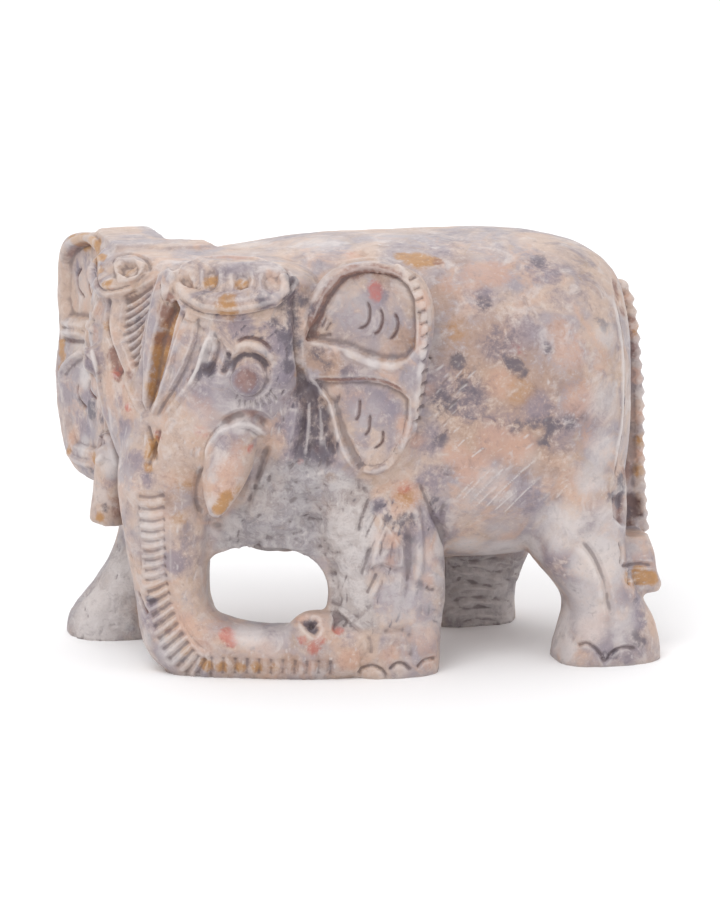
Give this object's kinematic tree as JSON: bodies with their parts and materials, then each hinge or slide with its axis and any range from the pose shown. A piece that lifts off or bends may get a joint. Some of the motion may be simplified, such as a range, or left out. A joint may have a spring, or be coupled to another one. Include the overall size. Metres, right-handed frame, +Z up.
{
  "type": "carved soapstone elephant figure",
  "caption": "Small elephant carved from one block of mottled soapstone, head turned to its left, with its trunk resting along the ground.",
  "frame": {"origin": "on the ground, under the middle of the whole figure's box", "axes": "+Z up, -X towards the head, +X towards the tail, -Y towards the elephant's left side, which the picture shows"},
  "size_m": [0.1016, 0.071, 0.0733],
  "materials": {
    "soapstone": "satin-polished mottled soapstone in pinkish beige, lilac grey and ochre, left rough and pale grey on the chest, belly and far legs"
  },
  "bodies": {
    "root": {"elephant": "soapstone"}
  },
  "joints": []
}
